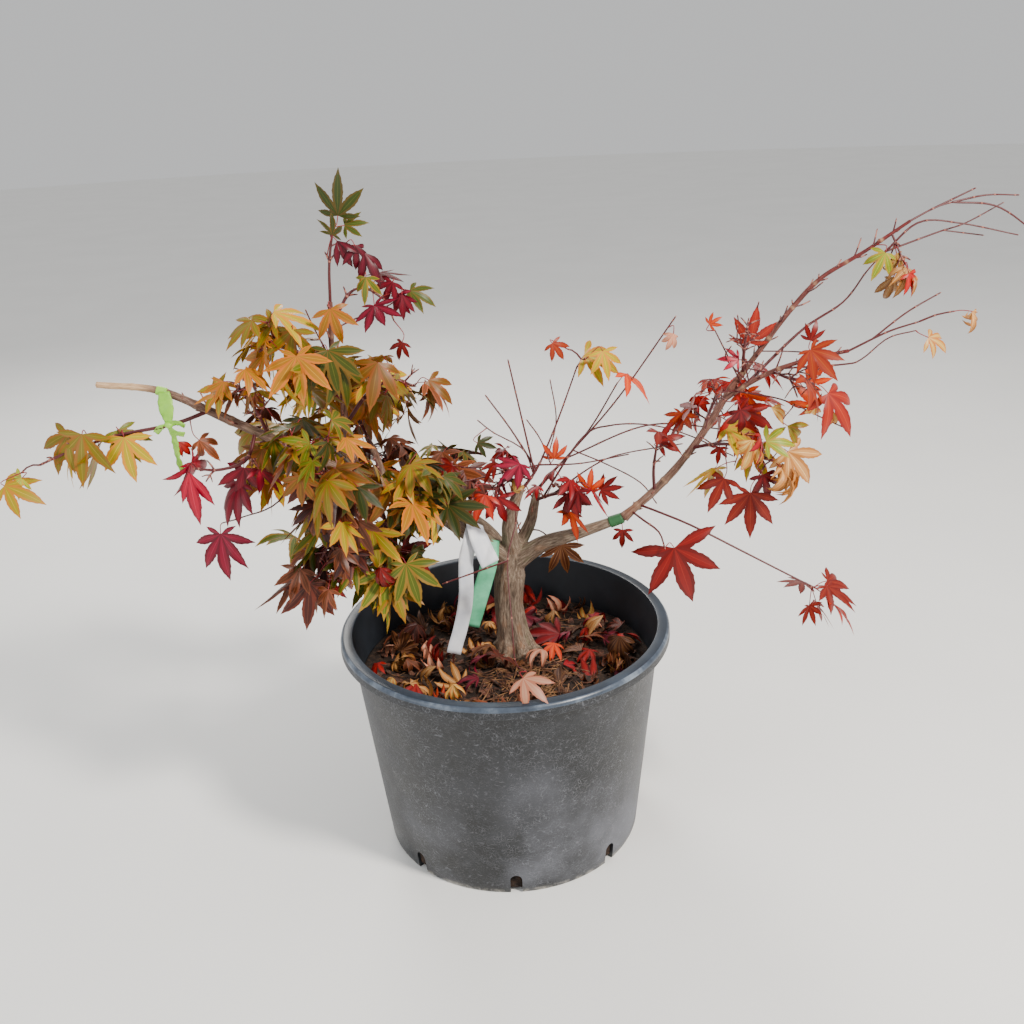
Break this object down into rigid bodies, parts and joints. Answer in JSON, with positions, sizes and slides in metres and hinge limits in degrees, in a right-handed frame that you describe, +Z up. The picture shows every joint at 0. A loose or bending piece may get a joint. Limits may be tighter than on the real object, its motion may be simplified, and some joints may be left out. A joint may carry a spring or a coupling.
{
  "type": "potted japanese maple",
  "caption": "Young Japanese maple in autumn leaf, with spreading boughs, rooted in a round tapered nursery pot.",
  "frame": {"origin": "centre of the pot's flat underside, on the ground", "axes": "+Z up, -Y towards the picture's viewer (front), +X to that viewer's right"},
  "size_m": [1.2472, 0.4594, 0.8548],
  "materials": {
    "pot": "matte",
    "compost": "rough",
    "bark": "rough",
    "label_white": "satin",
    "label_green": "satin",
    "tape": "satin",
    "ribbon": "satin",
    "leaf_amber": "satin",
    "leaf_blush": "satin",
    "leaf_coral": "satin",
    "leaf_crimson": "satin",
    "leaf_gold": "satin",
    "leaf_olive": "satin",
    "leaf_orange": "satin",
    "leaf_plum": "satin",
    "leaf_rose": "satin",
    "leaf_russet": "satin",
    "leaf_scarlet": "satin",
    "leaf_straw": "satin",
    "leaf_wine": "satin"
  },
  "bodies": {
    "root": {"pot": "pot", "soil": "compost", "trunk": "bark", "left_bough": "bark", "right_bough": "bark", "left_stem": "bark", "right_stem": "bark", "back_bough": "bark", "left_bough_outer": "bark", "left_leader": "bark", "left_leader_top": "bark", "left_back_bough": "bark", "left_front_bough": "bark", "right_bough_upper": "bark", "right_bough_top": "bark", "right_bough_outer": "bark", "label_white": "label_white", "label_green": "label_green", "tie_right": "tape", "tie_left": "ribbon", "leaves_left_top": "leaf_olive", "leaves_left_crest": "leaf_wine", "leaves_left_upper": "leaf_gold", "leaves_left_upper_right": "leaf_amber", "leaves_left_shoulder": "leaf_russet", "leaves_left_heart": "leaf_amber", "leaves_left_inner": "leaf_olive", "leaves_left_low": "leaf_plum", "leaves_left_skirt": "leaf_olive", "leaves_left_back": "leaf_gold", "leaves_left_side": "leaf_amber", "leaves_left_red": "leaf_rose", "leaves_left_tip": "leaf_gold", "leaves_back": "leaf_russet", "leaves_back_low": "leaf_plum", "leaves_centre": "leaf_scarlet", "leaves_centre_right": "leaf_crimson", "twigs_centre_left": "leaf_scarlet", "twigs_centre_right": "leaf_orange", "spray_front": "leaf_blush", "leaves_right_hanging": "leaf_crimson", "twig_right_arching": "leaf_coral", "leaves_right_inner": "leaf_orange", "leaves_right_heart": "leaf_orange", "leaves_right_low": "leaf_crimson", "leaves_right_upper": "leaf_rose", "leaves_right_back": "leaf_scarlet", "leaves_right_dried": "leaf_scarlet", "twigs_right_top": "leaf_straw", "twigs_right_outer": "leaf_straw"}
  },
  "joints": []
}
